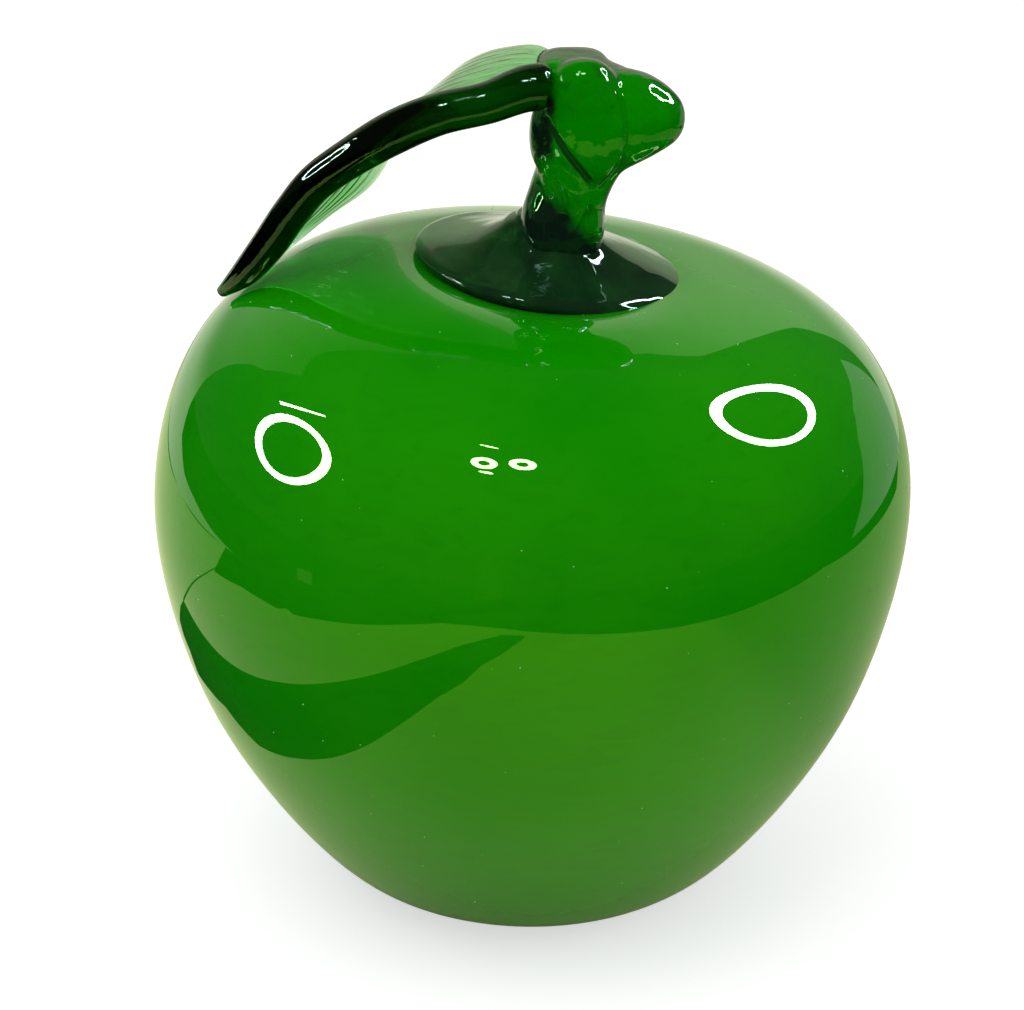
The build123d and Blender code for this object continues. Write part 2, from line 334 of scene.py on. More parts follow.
def smokedGlass():
    # The pad's glass: the dark green trailed thick over the opal, so only part of the light goes through. The
    # eye sees a nearly black saucer, with a painted reflection: a paler green towards the back.
    look = {
        "dark": "#102B16", "pale": "#18421C", "cloudSize": 9.0, "clouds": (0.4, 0.7),
        # back is the paler green of the painted reflection, laid on between the y given in thin
        "back": "#2F6E2A", "thin": (-2.0, 5.0),  # between which y it turns to the back's colour
        "lets": 0.25, "rippleSize": 6.0, "rippleDepth": 0.2, "rippleDetail": 1.0,
        "roughness": 0.03, "bends": 1.38, "mirrors": (0.5, 1.0, 0.3, 1.0),
    }
    material, tree = newMaterial("smokedGreenGlass")
    place = addNode(tree, "ShaderNodeTexCoord").outputs["Object"]
    cloud = addNode(tree, "ShaderNodeTexNoise", {}, {
        "Vector": place, "Scale": 1 / (look["cloudSize"] * mm), "Detail": 3.0, "Distortion": 0.6})
    spread = addNode(tree, "ShaderNodeMapRange", {}, {
        "Value": cloud.outputs["Fac"], "From Min": look["clouds"][0], "From Max": look["clouds"][1]})
    front = addNode(tree, "ShaderNodeMix", {"data_type": "RGBA"}, {
        "Factor": spread, 6: tint(look["dark"]), 7: tint(look["pale"])})
    thin = addNode(tree, "ShaderNodeMapRange", {"interpolation_type": "SMOOTHSTEP"}, {
        "Value": addNode(tree, "ShaderNodeSeparateXYZ", {}, [place]).outputs["Y"],
        "From Min": look["thin"][0] * mm, "From Max": look["thin"][1] * mm})
    # the clouded front turns to the painted reflection's paler green towards the back
    colour = addNode(tree, "ShaderNodeMix", {"data_type": "RGBA"}, {
        "Factor": thin, 6: front.outputs[2], 7: tint(look["back"])})
    finishGlass(tree, look, place, colour.outputs[2])
    return material


casedEmerald = casedGlass()
# opal glass: the milk-white inner gather that gives the casing its body
opal = cloudyGlass("opalGlass", {
    "dark": "#DDE5D2", "pale": "#EEF1E6", "cloudSize": 20.0, "detail": 3.0, "roughness": 0.12, "bends": 1.5})
# seeds: pinprick blisters at the skin, which catch the light as pale dots
seedLook = cloudyGlass("seedBlisters", {
    "dark": "#3F9A22", "pale": "#B4DC98", "cloudSize": 9.0, "detail": 1.0, "roughness": 0.25, "bends": 1.5})
stalkGlass = pressedGlass()
padGlass = smokedGlass()
leafGlass = drawnGlass()
print("materials ready")


# Body

appleShape = {
    # outline in mm, (radius, height), from the ground flat over the shoulder to the pipe hole
    "outline": [(21.0, 0.0), (27.1, 1.92), (36.5, 10.2), (44.1, 21.0), (50.2, 32.6), (54.3, 45.2),
                (56.5, 62.0), (55.75, 70.0), (49.6, 84.6), (36.8, 93.8), (29.0, 96.0), (20.5, 97.2),
                (15.0, 96.35), (10.0, 94.2), (5.0, 91.8)],
    "wall": 2.6,
    "pontil": (9.0, 0.9),  # radius and depth of the polished hollow
    "flat": 15.0, "floor": 10.0,  # radii of the flats below and inside
    "lean": 9.0, "leanPower": 1.3, "shift": 1.6,  # degrees, power, mm
    # how much fuller the right shoulder is, between which heights that grows, and the middle it grows from
    "shoulder": 0.75, "shoulderLow": 35.0, "shoulderHigh": 80.0, "middle": 50.0,
    "wobble": 0.22, "wobbleScale": 22.0,  # unevenness in mm and its waves per m
    "calmScale": 60.0,  # per m, how fast the unevenness grows from the axis
    "steps": 160, "rings": 300, "sides": 240,
}


def appleOutline(shape):  # the casing's closed section and how far each point leans
    line = smoothLine([(r, 0, z) for r, z in shape["outline"]], shape["steps"])
    steps = np.concatenate([[0], np.cumsum(np.linalg.norm(np.diff(line, axis=0), axis=1))])
    share = steps / steps[-1]
    widest = share[int(np.argmax(line[:, 0]))]
    lean = np.clip((share - widest) / (1 - widest), 0, 1) ** shape["leanPower"]
    along = np.gradient(line, axis=0)
    along /= np.linalg.norm(along, axis=1)[:, None]
    inner = line.copy()
    inner[:, 0] -= shape["wall"] * along[:, 2]
    inner[:, 2] += shape["wall"] * along[:, 0]
    keep = inner[:, 0] > 0
    radius, depth = shape["pontil"]
    foot = [(radius * a, 0, depth * (1 - a * a)) for a in (0.0, 0.35, 0.7, 1.0)] + [(shape["flat"], 0, 0)]
    upper = [(0.0, 0, shape["wall"] + depth), (shape["floor"], 0, shape["wall"])]
    section = np.array(foot + list(line) + list(inner[keep][::-1]) + upper[::-1])
    leans = np.array([0.0] * len(foot) + list(lean) + list(lean[keep][::-1]) + [0.0] * len(upper))
    return section, leans


# turns an outline curve about Z, a little uneven, with one fuller shoulder; its points' radius says how far
# each leans
def turnedSkinTree():
    sizes = ("Lean", "Shift", "Shoulder", "Shoulder Low", "Shoulder High", "Middle", "Wobble", "Wobble Scale",
             "Calm Scale")
    tree, given = newTree("turnedSkin", {
        "Rings": "Int", "Sides": "Int", **dict.fromkeys(sizes, "Float"), "Glass": "Material"})
    grid = addNode(tree, "GeometryNodeMeshGrid", {}, {
        "Size X": 1.0, "Size Y": 1.0, "Vertices X": given["Rings"], "Vertices Y": given["Sides"]})
    at = addNode(tree, "ShaderNodeSeparateXYZ", {}, [addNode(tree, "GeometryNodeInputPosition")]).outputs
    along = addNode(tree, "ShaderNodeMath", {"operation": "ADD"}, [at["X"], 0.5])
    share = addNode(tree, "ShaderNodeMath", {"operation": "ADD"}, [at["Y"], 0.5])
    turn = addNode(tree, "ShaderNodeMath", {"operation": "MULTIPLY"}, [share, math.tau])
    cosine = addNode(tree, "ShaderNodeMath", {"operation": "COSINE"}, [turn])
    sine = addNode(tree, "ShaderNodeMath", {"operation": "SINE"}, [turn])
    sample = addNode(tree, "GeometryNodeSampleCurve", {"mode": "FACTOR", "use_all_curves": True}, {
        "Curves": given["Geometry"], "Value": addNode(tree, "GeometryNodeInputRadius"), "Factor": along})
    line = addNode(tree, "ShaderNodeSeparateXYZ", {}, [sample.outputs["Position"]]).outputs
    flatX = addNode(tree, "ShaderNodeMath", {"operation": "MULTIPLY"}, [line["X"], cosine])
    flatY = addNode(tree, "ShaderNodeMath", {"operation": "MULTIPLY"}, [line["X"], sine])
    flat = addNode(tree, "ShaderNodeCombineXYZ", {}, [flatX, flatY, line["Z"]])
    noise = addNode(tree, "ShaderNodeTexNoise", {}, {
        "Vector": flat, "Scale": given["Wobble Scale"], "Detail": 1.0})
    climb = addNode(tree, "ShaderNodeMapRange", {"interpolation_type": "SMOOTHSTEP"}, {
        "Value": line["Z"], "From Min": given["Shoulder Low"], "From Max": given["Shoulder High"]})
    read = {name: given[name] for name in sizes}
    read.update(radius=line["X"], height=line["Z"], lean=sample.outputs["Value"], cosine=cosine, sine=sine,
                noise=noise.outputs["Fac"], climb=climb)
    for name, operation, *terms in [
            ("uneven", "SUBTRACT", "noise", 0.5), ("uneven", "MULTIPLY", "uneven", "Wobble"),
            ("calm", "MULTIPLY", "radius", "Calm Scale"), ("calm", "MINIMUM", "calm", 1.0),
            ("uneven", "MULTIPLY", "uneven", "calm"),
            ("side", "MULTIPLY_ADD", "cosine", 0.5, 0.5), ("side", "POWER", "side", 2.0),
            ("fade", "POWER", "lean", 3.0), ("fade", "SUBTRACT", 1.0, "fade"),
            ("push", "MULTIPLY", "side", "climb"), ("push", "MULTIPLY", "push", "fade"),
            ("push", "MULTIPLY", "push", "Shoulder"),
            ("above", "SUBTRACT", "height", "Middle"), ("aboveSquared", "POWER", "above", 2.0),
            ("away", "POWER", "radius", 2.0), ("away", "ADD", "away", "aboveSquared"),
            ("away", "SQRT", "away"),
            ("outward", "DIVIDE", "radius", "away"), ("outward", "MULTIPLY", "outward", "push"),
            ("upward", "DIVIDE", "above", "away"), ("upward", "MULTIPLY", "upward", "push"),
            ("radius", "ADD", "radius", "uneven"), ("radius", "ADD", "radius", "outward"),
            ("height", "ADD", "height", "upward"),
            ("angle", "MULTIPLY", "lean", "Lean"), ("reach", "MULTIPLY", "radius", "cosine"),
            ("x", "COSINE", "angle"), ("x", "MULTIPLY", "reach", "x"),
            ("moved", "MULTIPLY", "Shift", "lean"), ("x", "ADD", "moved", "x"),
            ("y", "MULTIPLY", "radius", "sine"),
            ("z", "SINE", "angle"), ("z", "MULTIPLY", "reach", "z"), ("z", "SUBTRACT", "height", "z")]:
        read[name] = addNode(tree, "ShaderNodeMath", {"operation": operation}, [
            read.get(term, term) for term in terms])
    place = addNode(tree, "ShaderNodeCombineXYZ", {}, [read["x"], read["y"], read["z"]])
    skin = addNode(tree, "GeometryNodeSetPosition", {}, {"Geometry": grid, "Position": place})
    closed = addNode(tree, "GeometryNodeMergeByDistance", {}, {"Geometry": skin, "Distance": 1e-6})
    smooth = addNode(tree, "GeometryNodeSetShadeSmooth", {}, {"Geometry": closed, "Shade Smooth": True})
    return finishTree(tree, smooth, given["Glass"])


def makeApple(shape):
    section, leans = appleOutline(shape)
    curve = bpy.data.curves.new("appleOutline", "CURVE")
    curve.dimensions = "3D"
    spline = curve.splines.new("POLY")
    spline.points.add(len(section) - 1)
    for point, place, lean in zip(spline.points, section, leans):
        point.co = (*(place * mm), 1)
        point.radius = lean
    source = newObject("appleOutline", curve)
    mesh = grown(source, turnedSkinTree(), {
        "Rings": shape["rings"], "Sides": shape["sides"] + 1,
        "Lean": math.radians(shape["lean"]), "Shift": shape["shift"] * mm,
        "Shoulder": shape["shoulder"] * mm, "Shoulder Low": shape["shoulderLow"] * mm,
        "Shoulder High": shape["shoulderHigh"] * mm, "Middle": shape["middle"] * mm,
        "Wobble": 2 * shape["wobble"] * mm, "Wobble Scale": shape["wobbleScale"],
        "Calm Scale": shape["calmScale"], "Glass": casedEmerald})
    bpy.data.objects.remove(source)
    return newObject("appleSkin", tidied(mesh))


appleSkin = makeApple(appleShape)
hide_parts("body_casing")
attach(appleSkin, "root")
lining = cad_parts["body_lining"]
lining.data.materials.clear()
lining.data.materials.append(opal)
print("body ready")


# Pad

padShape = {
    "middleY": 1.8, "level": 98.17,  # mm
    "slope": -0.165, "slopeAt": 2.0,  # the fall to the right, and the x where it is nothing
    # rim radius in mm at even turns from +X towards +Y
    "rim": [21.4, 21.6, 21.5, 21.3, 21.0, 21.0, 21.0, 21.0, 21.0, 20.5, 20.0, 19.5, 19.1, 18.7, 18.2,
            17.7, 17.3, 16.9, 16.6, 16.9, 17.6, 18.5, 19.5, 20.7],
    # section from the middle out: share of the rim's radius, height over the level in mm, and the x of the
    # ring's middle in mm
    "top": [(0.0, 8.0, 2.6), (0.17, 7.9, 2.6), (0.24, 7.5, 2.5), (0.285, 6.8, 2.3), (0.325, 5.9, 2.0),
            (0.37, 5.0, 1.7), (0.43, 4.05, 1.5), (0.5, 3.2, 1.4), (0.58, 2.5, 1.4), (0.67, 1.8, 1.6),
            (0.77, 1.1, 1.8), (0.87, 0.42, 2.0), (0.93, 0.05, 2.1), (0.975, -0.4, 2.1),
            (1.0, -0.95, 2.1)],
    "under": [(0.99, -1.6, 2.1), (0.94, -2.2, 2.1), (0.85, -2.6, 2.1), (0.7, -3.1, 2.1), (0.4, -3.8, 2.1),
              (0.0, -4.4, 2.1)],
    "sides": 144, "steps": 80,
}


def makePad(shape):
    line = smoothLine([(r, 0, z, x) for r, z, x in shape["top"] + shape["under"]], shape["steps"])[1:-1]
    rims = shape["rim"] + shape["rim"][:1]
    rings = []
    for share, _, height, middle in line:
        ring = []
        for j in range(shape["sides"]):
            turn = math.tau * j / shape["sides"]
            rim = graded(rims, j / shape["sides"])
            x = middle + share * rim * math.cos(turn)
            y = shape["middleY"] * share + share * rim * math.sin(turn)
            fall = shape["slope"] * (x - shape["slopeAt"]) * share
            ring.append(np.array((x, y, shape["level"] + height + fall)))
        rings.append(ring)
    pad = newObject("stalkPad", skinRings(rings, "stalkPad"))
    return modified(pad, ("SUBSURF", {"levels": 1, "render_levels": 1}))


stalkPad = makePad(padShape)
stalkPad.data.materials.clear()
stalkPad.data.materials.append(padGlass)
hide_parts("stem_pad")
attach(stalkPad, "root")
print("pad ready")


# Stalk

stalkShape = {
    # middle line in mm with the radius, from the pad up and over to the knob
    "line": [(4.3, 0, 100.5, 4.6), (4.3, 0, 101.6, 5.6), (4.3, 0, 103.4, 6.1), (4.8, 0, 106.6, 6.0),
             (5.4, 0, 109.4, 5.8), (6.7, 0, 113.2, 5.9), (8.2, 0, 116.9, 6.5), (10.3, 0, 119.8, 7.4),
             (13.1, 0, 120.9, 7.1), (15.6, 0, 121.0, 6.0), (17.4, 0, 120.8, 4.9)],
    "balls": 90,
    # pressed-on flaps: centre, half sizes, turn about Y in degrees, squareness
    "flaps": [((7.7, -3.3, 121.4), (5.9, 4.6, 9.2), -4.0, 2.4),
              ((5.5, -1.2, 118.6), (5.9, 5.2, 7.6), 0.0, 2.2),
              ((5.9, 1.6, 127.3), (5.2, 5.6, 2.7), 0.0, 3.2),
              ((12.4, 0.8, 125.1), (6.3, 5.0, 2.6), 24.0, 3.0),
              ((5.2, -1.6, 112.3), (4.1, 5.2, 6.5), 0.0, 2.0),
              ((2.1, -0.8, 104.3), (3.9, 5.6, 8.8), 6.0, 2.0),
              ((7.6, -0.5, 105.0), (3.2, 5.0, 6.5), 0.0, 2.0)],
    # folds in the front: (x, height) of each fold's points, its half width and its depth
    "folds": [([(2.2, 122.2), (4.5, 118.7), (6.8, 115.5), (8.9, 112.4)], 0.45, 0.6),
              ([(11.3, 128.6), (13.0, 124.0), (13.3, 119.5), (12.3, 115.0), (10.0, 112.0)], 0.4, 0.5),
              ([(3.5, 113.0), (5.0, 110.2), (5.2, 107.0)], 0.5, 0.5),
              ([(8.5, 108.5), (6.8, 105.5)], 0.45, 0.5)],
    "foldSteps": 60, "front": -1.5,  # the folds are pressed in where y is less than front
    "voxel": 0.4, "melt": 17, "meltShare": 0.5,  # mm, smoothing steps and how much each smooths
}


def makeStalk(shape):
    work = bmesh.new()
    for x, y, z, radius in smoothLine(shape["line"], shape["balls"]):
        ballMesh(work, (x, y, z), (radius, radius, radius))
    for centre, sizes, turn, square in shape["flaps"]:
        ballMesh(work, centre, sizes, turn, 4, square)
    mesh = bpy.data.meshes.new("stalk")
    work.to_mesh(mesh)
    work.free()
    stalk = newObject("stalk", mesh)
    modified(stalk,
             ("REMESH", {"mode": "VOXEL", "voxel_size": shape["voxel"] * mm, "use_smooth_shade": True}),
             ("SMOOTH", {"factor": shape["meltShare"], "iterations": shape["melt"]}),
             ("SUBSURF", {"levels": 1, "render_levels": 1}))
    places = np.array([vert.co for vert in stalk.data.vertices]) / mm
    pushed = np.zeros(len(places))
    for points, width, depth in shape["folds"]:
        line = smoothLine([(x, 0, z) for x, z in points], shape["foldSteps"])
        gap = np.min(np.hypot(places[:, :1] - line[:, 0], places[:, 2:] - line[:, 2]), axis=1)
        pushed = np.maximum(pushed, depth * np.exp(-(gap / width) ** 2))
    for vert, push in zip(stalk.data.vertices, pushed * (places[:, 1] < shape["front"])):
        vert.co.y += push * mm
    tidied(stalk.data)
    return stalk


stalk = makeStalk(stalkShape)
stalk.data.materials.clear()
stalk.data.materials.append(stalkGlass)
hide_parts("stem")
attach(stalk, "root")
print("stalk ready", len(stalk.data.polygons))


# Leaf

leafShape = {
    "root": (7.15, -4.6, 125.81), "reach": 53.1, "depth": 33.5, "drop": 33.8,  # mm
    # at even steps from the root to the tip, shares of the reach across, of the depth back and of the drop
    "rodLine": [(0.0, 0.0, 0.0), (0.130, -0.015, -0.030), (0.256, -0.042, 0.030), (0.384, -0.063, 0.071),
                (0.505, -0.078, 0.148), (0.618, -0.075, 0.257), (0.718, -0.039, 0.385), (0.791, 0.021, 0.544),
                (0.855, 0.093, 0.710), (0.925, 0.173, 0.867), (1.0, 0.275, 1.0)],
    "farEdge": [(0.030, 0.270, -0.116), (0.115, 0.436, -0.096), (0.220, 0.645, -0.018), (0.314, 0.773, 0.108),
                (0.397, 0.848, 0.240), (0.471, 0.904, 0.395), (0.535, 0.922, 0.578), (0.616, 0.899, 0.742),
                (0.715, 0.780, 0.845), (0.828, 0.480, 0.872), (0.975, 0.330, 0.985)],
    # the rod's width in mm and its shares at even steps, and its share at the root and how fast that grows
    "rodWidth": 6.8, "rod": [1.0, 0.98, 0.88, 0.90, 0.93, 0.86, 0.82, 0.80, 0.77, 0.62, 0.26],
    "rodRoot": (0.8, 14.0),
    # mm: half the blade's wall at the rod, at the far edge and at the least, its camber, and the width with
    # all of that camber
    "halfWall": 0.5, "edgeWall": 0.22, "leastWall": 0.05, "camber": 0.7, "nominalWidth": 20.0,
    "pinch": 0.25, "pinchOver": 0.045,  # how much narrower the blade's root is, and how soon it opens
    "ribs": 11.0, "ribDepth": 0.045,  # how many across the blade, and mm
    # each set of ribs: its number against ribs, its drift along the leaf, its shift between faces, its share
    "ribSets": [(1.0, 1.3, 0.0, 0.6), (1.7, -2.1, 0.2, 0.4)],
    "wave": 0.35, "waves": 3.3, "flutters": 4.1,  # the edge's wave in mm, and how many in the leaf's length
    "start": 0.069, "sections": 170, "around": 72,
}


def makeLeaf(shape):
    span = np.array((-shape["reach"], shape["depth"], -shape["drop"]))
    rodLine, farEdge = np.array(shape["rodLine"]), np.array(shape["farEdge"])
    shares = np.linspace(shape["start"], 1.0, shape["sections"] + 1)
    line = [np.array(shape["root"]) + graded(rodLine, share) * span for share in shares]
    rings = []
    for i, (share, centre) in enumerate(zip(shares, line)):
        ahead = line[min(i + 1, shape["sections"])] - line[max(i - 1, 0)]
        out = np.array(shape["root"]) + graded(farEdge, share) * span - centre
        least, growth = shape["rodRoot"]
        grownShare = min(1.0, least + growth * (share - shape["start"]))
        rod = shape["rodWidth"] / 2 * graded(shape["rod"], share) * grownShare
        width = np.linalg.norm(out)
        opened = 1 - shape["pinch"] * math.exp(-(share - shape["start"]) / shape["pinchOver"])
        out /= width
        up = np.cross(out, ahead)
        up /= np.linalg.norm(up) * (1 if up[2] > 0 else -1)
        wave = shape["wave"] * math.sin(math.tau * shape["waves"] * share + 0.5)
        width = max(opened * width + wave, rod * 1.1)
        bulge = 4 * shape["camber"] * min(1.0, width / shape["nominalWidth"])
        flutter = shape["wave"] * math.sin(math.tau * shape["flutters"] * share)
        ring = []
        for j in range(2 * shape["around"]):
            side = 1 if j < shape["around"] else -1
            step = j + 0.5 if side > 0 else 2 * shape["around"] - j - 0.5
            reach = -rod + (width + rod) * (1 - math.cos(math.pi * step / shape["around"])) / 2
            rodHalf = math.sqrt(max(0.0, rod * rod - reach * reach)) if abs(reach) < rod else 0.0
            free = max(0.0, min(1.0, reach / width))
            wall = shape["halfWall"] + (shape["edgeWall"] - shape["halfWall"]) * free
            bladeHalf = min(wall, rod * 0.6) * math.sqrt(max(0.0, 1 - free ** 16)) if reach > 0 else 0.0
            half = (rodHalf ** 3 + bladeHalf ** 3) ** (1 / 3)  # of the thickness, rod melted into blade
            fade = min(1.0, max(0.0, (reach - 0.8 * rod) / rod)) * (1 - free ** 8)
            for number, drift, shift, part in shape["ribSets"]:
                rib = math.sin(math.tau * (shape["ribs"] * number * free + drift * share + shift * side))
                half += shape["ribDepth"] * part * rib * fade
            bend = bulge * max(0.0, reach) * (width - reach) / width ** 2
            lift = side * max(half, shape["leastWall"]) + bend + flutter * free ** 3
            ring.append(centre + out * reach + up * lift)
        rings.append(ring)
    leaf = newObject("leafBlade", skinRings(rings, "leafBlade"))
    return modified(leaf, ("SUBSURF", {"levels": 1, "render_levels": 1}))


leafBlade = makeLeaf(leafShape)
leafBlade.data.materials.append(leafGlass)
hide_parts("leaf")
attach(leafBlade, "root")
print("leaf ready")


# Seeds

# radii and the least height in mm
seedShape = {"count": 180, "small": 0.04, "large": 0.13, "above": 4.0, "seed": 7}


def seedTree():  # scatters small blisters over a skin
    tree, given = newTree("scatteredSeeds", {
        "Density": "Float", "Smallest": "Float", "Largest": "Float", "Seed": "Int", "Glass": "Material"})
    points = addNode(tree, "GeometryNodeDistributePointsOnFaces", {"distribute_method": "RANDOM"}, {
        "Mesh": given["Geometry"], "Density": given["Density"], "Seed": given["Seed"]})
    ball = addNode(tree, "GeometryNodeMeshIcoSphere", {}, {"Radius": 1.0, "Subdivisions": 2})
    size = addNode(tree, "FunctionNodeRandomValue", {"data_type": "FLOAT"}, {
        2: given["Smallest"], 3: given["Largest"], "Seed": given["Seed"]})
    put = addNode(tree, "GeometryNodeInstanceOnPoints", {}, {
        "Points": points, "Instance": ball, "Scale": size.outputs[1]})
    return finishTree(tree, put, given["Glass"])


def makeSeeds(shape):
    source = newObject("seedGround", appleSkin.data.copy())
    outer = bmesh.new()
    outer.from_mesh(source.data)
    middle = Vector((0, 0, appleShape["middle"] * mm))
    unseen = [f for f in outer.faces if f.normal.dot(f.calc_center_median() - middle) < 0
              or f.calc_center_median().z < shape["above"] * mm]
    bmesh.ops.delete(outer, geom=unseen, context="FACES")
    area = sum(f.calc_area() for f in outer.faces)
    outer.to_mesh(source.data)
    outer.free()
    mesh = grown(source, seedTree(), {
        "Density": shape["count"] / area, "Smallest": shape["small"] * mm, "Largest": shape["large"] * mm,
        "Seed": shape["seed"], "Glass": seedLook})
    bpy.data.objects.remove(source)
    return newObject("skinSeeds", mesh)


skinSeeds = makeSeeds(seedShape)
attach(skinSeeds, "root")
print("seeds ready", len(skinSeeds.data.polygons))


# Studio

studio = {
    "floorHalf": 3.0, "floorLevel": -3e-4, "tableLevel": -1e-4, "patchLevel": -5e-5,  # m
    "floorColour": 0.55, "floorLift": 0.6, "floorMirrored": 0.01,  # grey, light for the camera, grey in gloss
    # the world's light on the object, in its gloss, and through its glass from above and from the sides
    "daylight": 0.85, "room": 0.06, "roomThroughGlass": 0.7, "sidesThroughGlass": 0.9,
    "sideBand": (0.75, 0.55),  # the rises of a ray between which it goes from above to the sides
    # the table's grey, painted darker towards its right as painted shade
    "tableGreyAndShade": (0.8, 0.5), "tableTint": (1.0, 1.08, 0.6), "patchColour": (0.015, 0.015),  # left and right
    "paperWay": (0.8, 0.6, 0.0), "paperTurns": (0.02, 0.07),  # which way left turns to right, and where in m
    # the white wall's light at even heights from the table to its top in mm
    "wallLight": [1.0, 0.95, 0.55, 0.7, 0.72, 0.6, 0.48, 0.36, 0.25, 0.2], "wallTop": 540.0,
    "wallRadius": 0.3, "wallTint": (0.95, 0.97, 0.78),
    # how much of it the left part gives, between which x, and above which heights, in m
    "leftShare": 0.62, "leftX": (-0.26, -0.08), "leftZ": (0.05, 0.14),
    "lights": [((-0.22, -0.22, 0.85), 3.0, 0.7), ((0.6, -0.05, 0.22), 0.45, 0.4)],  # place, energy, size
    # what the gloss sees, in mm: the white wall's outline as turns from the camera side and heights
    "wall": [(-90, -60), (-90, 0), (-99, 5), (-110, 15), (-118, 20), (-126, 37), (-128, 65), (-128, 105),
             (-126, 165), (-123, 220), (-119, 260), (-117, 315), (-115, 360), (-120, 370), (-127, 385),
             (-133, 410), (-141, 460), (-150, 500), (-158, 530), (-172, 540), (-183, 515), (-193, 455),
             (-200, 350), (-205, 320), (-206, 255), (-209, 190), (-212, 155), (-214, 115), (-217, 85),
             (-221, 45), (-223, 20), (-225, -10), (-226, -60)],
    # grey cards on the same round, with their light, and a thin lamp
    "cards": {"windowCard": (0.4, [(-65, 31), (-60, 32), (-60, 14), (-65, 15)]),
              "coneCard": (0.12, [(-15, 47), (-14, 113), (-12, 150), (-9, 105), (-8, 50)]),
              "doorCard": (0.5, [(140, 150), (123, 145), (114, 115), (105, 40), (90, -50), (140, -50)])},
    "strip": [(-102.6, 281), (-101, 279), (-88.5, 382), (-89.6, 385)],
    # the table's outline and the dark patch and dark line that lie on it
    "table": [(-300, 16), (-199, 18), (-203, -23), (-194, -49), (-185, -68), (-190, -81), (-179, -86),
              (-174, -118), (-165, -152), (-146, -216), (-122, -278), (-82, -295), (-40, -296),
              (11, -277), (77, -244), (125, -212), (168, -171), (214, -111), (258, -23), (236, 82),
              (196, 151), (216, 208), (150, 262), (0, 302), (-150, 262), (-262, 150)],
    # a dark shape on the table, seen only in gloss and through glass
    "darkPatch": [(-113, 50), (-108, 28), (-104, 7), (-97, -39), (-88, -79), (-79, -125), (-71, -172),
                  (-64, -201), (-52, -229), (-35, -258), (-10, -259), (-9, -249), (-25, -190),
                  (-35, -160), (-39, -130), (-45, -111), (-51, -81), (-56, -59), (-63, -30), (-67, -7),
                  (-76, 13), (-75, 29), (-72, 44), (-79, 49), (-81, 57), (-87, 60), (-103, 55)],
    "darkLine": [(-113, 51), (-165, 35), (-238, 8), (-286, -3), (-286, -5), (-238, 6), (-165, 33),
                 (-113, 49)],
    # ring lamps: a point of the body, the lamp's turn from the camera side and its height in degrees as seen
    # from there, its distance, its half width and half height, and the share of these that its hole has
    "ringLamps": [((-0.033, -0.037, 0.085), -88.4, 27.3, 0.45, (0.130, 0.113), (0.76, 0.83)),
                  ((0.033, -0.032, 0.0875), 119.8, 40.2, 0.45, (0.129, 0.113), (0.78, 0.81))],
    "spotLamps": [((-0.007, -0.047, 0.087), -20.4, 64.1, 0.9, (0.052, 0.052), (0.45, 0.45)),
                  ((-0.001, -0.047, 0.087), 0.6, 66.1, 0.9, (0.052, 0.052), (0.45, 0.45)),
                  ((-0.007, -0.047, 0.087), -17.5, 58.7, 0.9, (0.030, 0.010), (0.05, 0.05)),
                  ((-0.007, -0.047, 0.087), -24.0, 74.6, 0.9, (0.035, 0.006), (0.05, 0.05))],
    # the apple mirrors green where one looks straight at it, so the lamps have a colour that it turns white
    "ringColour": (70, 60, 120, 1), "spotColour": (60, 52, 140, 1), "ringSides": 64,
}


def lampMaterial(name, strength, colour=(1, 1, 1, 1)):  # an even glow, for lamps and lit cards
    material, tree = newMaterial(name)
    glow = addNode(tree, "ShaderNodeEmission", {}, {"Color": colour, "Strength": strength})
    addNode(tree, "ShaderNodeOutputMaterial", {}, {"Surface": glow})
    return material


def paperMaterial(name, values, levels, colour=(1, 1, 1)):  # matt paper or cloth, from left to right level
    material, tree = newMaterial(name)
    place = addNode(tree, "ShaderNodeTexCoord").outputs["Object"]
    across = addNode(tree, "ShaderNodeVectorMath", {"operation": "DOT_PRODUCT"}, [place, values["paperWay"]])
    # the level steps from left to right; on the table that step is painted shade
    level = addNode(tree, "ShaderNodeMapRange", {"interpolation_type": "SMOOTHSTEP"}, {
        "Value": across.outputs["Value"], "From Min": values["paperTurns"][0],
        "From Max": values["paperTurns"][1], "To Min": levels[0], "To Max": levels[1]})
    shade = addNode(tree, "ShaderNodeVectorMath", {"operation": "SCALE"}, {0: colour, "Scale": level})
    paper = addNode(tree, "ShaderNodeBsdfDiffuse", {}, {"Color": shade})
    addNode(tree, "ShaderNodeOutputMaterial", {}, {"Surface": paper})
    return material


def floorMaterial(values):
    # matt white for the camera, with the object's own soft shadow, and dark for gloss and glass off the table
    material, tree = newMaterial("whiteTable")
    rays = addNode(tree, "ShaderNodeLightPath").outputs
    mirrored = addNode(tree, "ShaderNodeMath", {"operation": "MAXIMUM"}, [
        rays["Is Glossy Ray"], rays["Is Transmission Ray"]])
    lift = addNode(tree, "ShaderNodeMath", {"operation": "MULTIPLY"}, [
        rays["Is Camera Ray"], values["floorLift"]])
    paper = addNode(tree, "ShaderNodeBsdfDiffuse", {}, {"Color": (*[values["floorColour"]] * 3, 1)})
    glow = addNode(tree, "ShaderNodeEmission", {}, {"Strength": lift})
    lit = addNode(tree, "ShaderNodeAddShader", {}, [paper, glow])
    shade = addNode(tree, "ShaderNodeBsdfDiffuse", {}, {"Color": (*[values["floorMirrored"]] * 3, 1)})
    mixed = addNode(tree, "ShaderNodeMixShader", {}, [mirrored, lit, shade])
    addNode(tree, "ShaderNodeOutputMaterial", {}, {"Surface": mixed})
    return material


